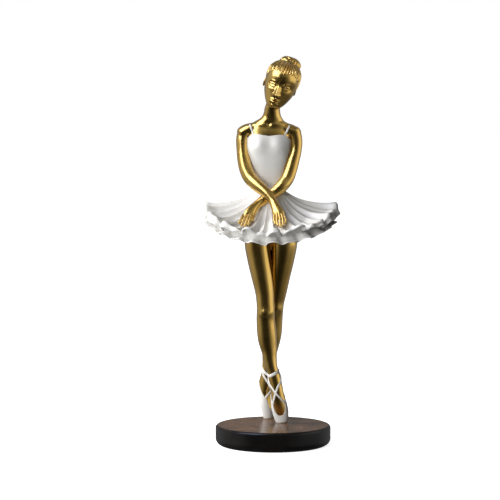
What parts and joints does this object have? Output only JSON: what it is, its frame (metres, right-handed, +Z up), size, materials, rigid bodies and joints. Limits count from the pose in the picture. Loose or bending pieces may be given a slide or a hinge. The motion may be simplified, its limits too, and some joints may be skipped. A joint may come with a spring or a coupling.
{
  "type": "ballerina figurine",
  "caption": "Cast figurine of a dancer on pointe with crossed hands, tilted head and frilled tutu, standing on a round plinth with a rounded foot.",
  "frame": {"origin": "centre of the plinth's flat underside, on the surface it stands on", "axes": "+Z up, the dancer faces -Y, +X to the viewer's right"},
  "size_m": [0.1049, 0.1109, 0.3005],
  "materials": {
    "gold_plated_resin": "polished gold electroplate on cast resin",
    "white_paint": "satin-gloss white paint on cast resin",
    "dark_lacquer": "dark brown-black lacquer, satin gloss"
  },
  "bodies": {
    "root": {"dancer": "gold_plated_resin", "plinth": "dark_lacquer"}
  },
  "joints": []
}
